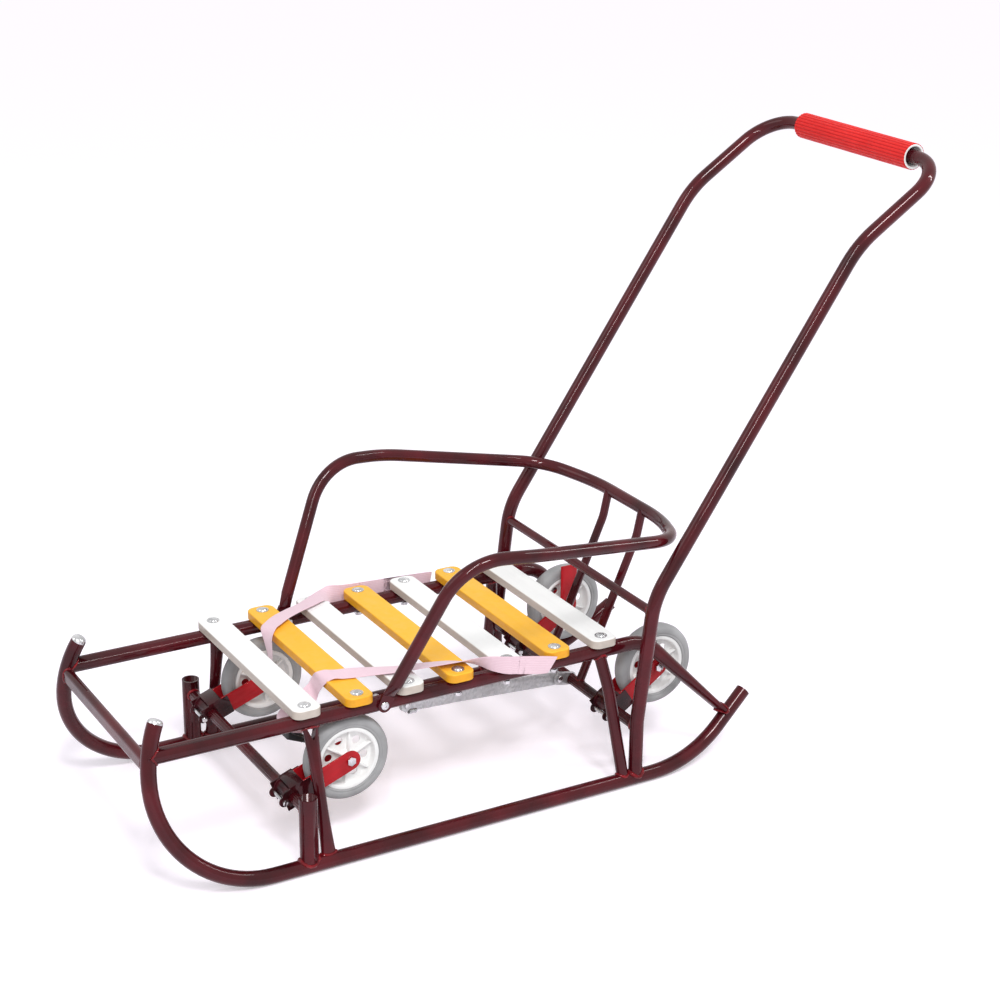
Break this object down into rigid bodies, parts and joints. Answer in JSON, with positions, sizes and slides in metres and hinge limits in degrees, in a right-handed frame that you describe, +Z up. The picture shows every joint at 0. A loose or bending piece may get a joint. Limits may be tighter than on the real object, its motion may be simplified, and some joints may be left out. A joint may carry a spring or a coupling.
{
  "type": "push sled with wheels",
  "caption": "Child's push sled on tubular runners with a slatted seat, a bent-tube back rest, a tall push handle and small wheels on forks that swing down.",
  "frame": {"origin": "on the ground under the middle of the sled's overall box", "axes": "+Z up, -Y towards the sled's front, +X to its left"},
  "size_m": [0.4584, 1.2175, 0.8578],
  "materials": {
    "maroon_paint": "gloss",
    "red_paint": "gloss",
    "dark_paint": "gloss",
    "zinc": "satin",
    "white_wood": "painted, satin",
    "orange_wood": "painted, satin",
    "tyre": "matt",
    "white_plastic": "satin",
    "grip": "ribbed, matt",
    "webbing": "woven",
    "black_plastic": "satin"
  },
  "bodies": {
    "frame": {"back_bar_left": "maroon_paint", "back_bar_right": "maroon_paint", "backrest_bow": "maroon_paint", "belt_buckle": "black_plastic", "belt_left": "webbing", "belt_right": "webbing", "bow_bolts": "zinc", "front_axle_bar": "maroon_paint", "front_socket_left": "maroon_paint", "front_socket_right": "maroon_paint", "front_strut_left": "maroon_paint", "front_strut_right": "maroon_paint", "lock_strip": "zinc", "nose_cross_tube": "maroon_paint", "rail_left": "maroon_paint", "rail_right": "maroon_paint", "rear_axle_bar": "maroon_paint", "rear_post_left": "maroon_paint", "rear_post_right": "maroon_paint", "rear_strut_left": "maroon_paint", "rear_strut_right": "maroon_paint", "runner_caps": "zinc", "runner_left": "maroon_paint", "runner_right": "maroon_paint", "slat_1": "white_wood", "slat_2": "orange_wood", "slat_3": "white_wood", "slat_4": "orange_wood", "slat_5": "white_wood", "slat_6": "orange_wood", "slat_7": "white_wood", "slat_bolts": "zinc", "strip_bolts": "zinc", "strip_lug": "zinc", "strip_tab": "zinc"},
    "fork_front_left": {"bracket_front_left": "dark_paint", "fork_bolts_front_left": "zinc", "fork_front_left": "red_paint"},
    "wheel_front_left": {"hub_front_left": "white_plastic", "tyre_front_left": "tyre"},
    "fork_front_right": {"bracket_front_right": "dark_paint", "fork_bolts_front_right": "zinc", "fork_front_right": "red_paint"},
    "wheel_front_right": {"hub_front_right": "white_plastic", "tyre_front_right": "tyre"},
    "fork_rear_left": {"bracket_rear_left": "dark_paint", "fork_bolts_rear_left": "zinc", "fork_rear_left": "red_paint"},
    "wheel_rear_left": {"hub_rear_left": "white_plastic", "tyre_rear_left": "tyre"},
    "fork_rear_right": {"bracket_rear_right": "dark_paint", "fork_bolts_rear_right": "zinc", "fork_rear_right": "red_paint"},
    "wheel_rear_right": {"hub_rear_right": "white_plastic", "tyre_rear_right": "tyre"},
    "handle": {"handle_crossbar": "maroon_paint", "handle_grip": "grip", "handle_tube": "maroon_paint"}
  },
  "joints": [
    {"name": "handle_lift", "type": "slide", "parent": "frame", "child": "handle", "axis": [0, 0.1182, 0.993], "range_m": [0, 0.045]},
    {"name": "fork_front_left_swing", "type": "hinge", "parent": "frame", "child": "fork_front_left", "pos_m": [0.1375, -0.3989, 0.09], "axis": [1, 0, 0], "range_deg": [-115.6, 0]},
    {"name": "wheel_front_left_spin", "type": "hinge", "parent": "fork_front_left", "child": "wheel_front_left", "pos_m": [0.1375, -0.31466, 0.12167], "axis": [1, 0, 0], "continuous": true},
    {"name": "fork_front_right_swing", "type": "hinge", "parent": "frame", "child": "fork_front_right", "pos_m": [-0.1375, -0.3989, 0.09], "axis": [1, 0, 0], "range_deg": [-115.6, 0]},
    {"name": "wheel_front_right_spin", "type": "hinge", "parent": "fork_front_right", "child": "wheel_front_right", "pos_m": [-0.1375, -0.31466, 0.12167], "axis": [1, 0, 0], "continuous": true},
    {"name": "fork_rear_left_swing", "type": "hinge", "parent": "frame", "child": "fork_rear_left", "pos_m": [0.124, 0.1081, 0.09], "axis": [1, 0, 0], "range_deg": [-129.4, 0]},
    {"name": "wheel_rear_left_spin", "type": "hinge", "parent": "fork_rear_left", "child": "wheel_rear_left", "pos_m": [0.124, 0.18236, 0.14085], "axis": [1, 0, 0], "continuous": true},
    {"name": "fork_rear_right_swing", "type": "hinge", "parent": "frame", "child": "fork_rear_right", "pos_m": [-0.124, 0.1081, 0.09], "axis": [1, 0, 0], "range_deg": [-129.4, 0]},
    {"name": "wheel_rear_right_spin", "type": "hinge", "parent": "fork_rear_right", "child": "wheel_rear_right", "pos_m": [-0.124, 0.18236, 0.14085], "axis": [1, 0, 0], "continuous": true}
  ]
}
